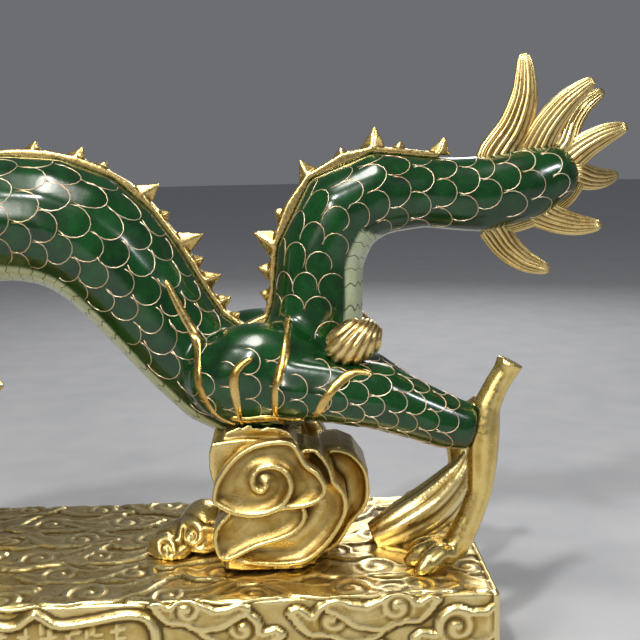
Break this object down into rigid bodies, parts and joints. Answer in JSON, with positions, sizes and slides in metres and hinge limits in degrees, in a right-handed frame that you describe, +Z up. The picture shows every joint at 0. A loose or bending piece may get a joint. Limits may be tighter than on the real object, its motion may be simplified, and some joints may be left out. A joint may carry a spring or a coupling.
{
  "type": "dragon sculpture",
  "caption": "Enamelled dragon with an arched scaly body, gilt ridge, legs, head and flame tail, on a gilt plinth with cloud relief.",
  "frame": {"origin": "middle of the plinth's flat underside", "axes": "+Z up, +X along the plinth towards the tail, the dragon faces -X, -Y is the side with the cartouche"},
  "size_m": [0.4841, 0.12, 0.2564],
  "materials": {
    "gilt": "satin gilding on cast metal",
    "enamel": "glossy green cloisonne enamel with gilt wires"
  },
  "bodies": {
    "root": {"plinth": "gilt", "cloud_support": "gilt", "body": "enamel", "dorsal_ridge": "gilt", "tail_tuft": "gilt", "head": "gilt", "hind_leg_near": "gilt", "hind_leg_far": "gilt", "front_leg_near": "gilt", "front_leg_far": "gilt", "hind_knot_near": "gilt", "hind_knot_far": "gilt", "front_knot_near": "gilt", "front_knot_far": "gilt"}
  },
  "joints": []
}
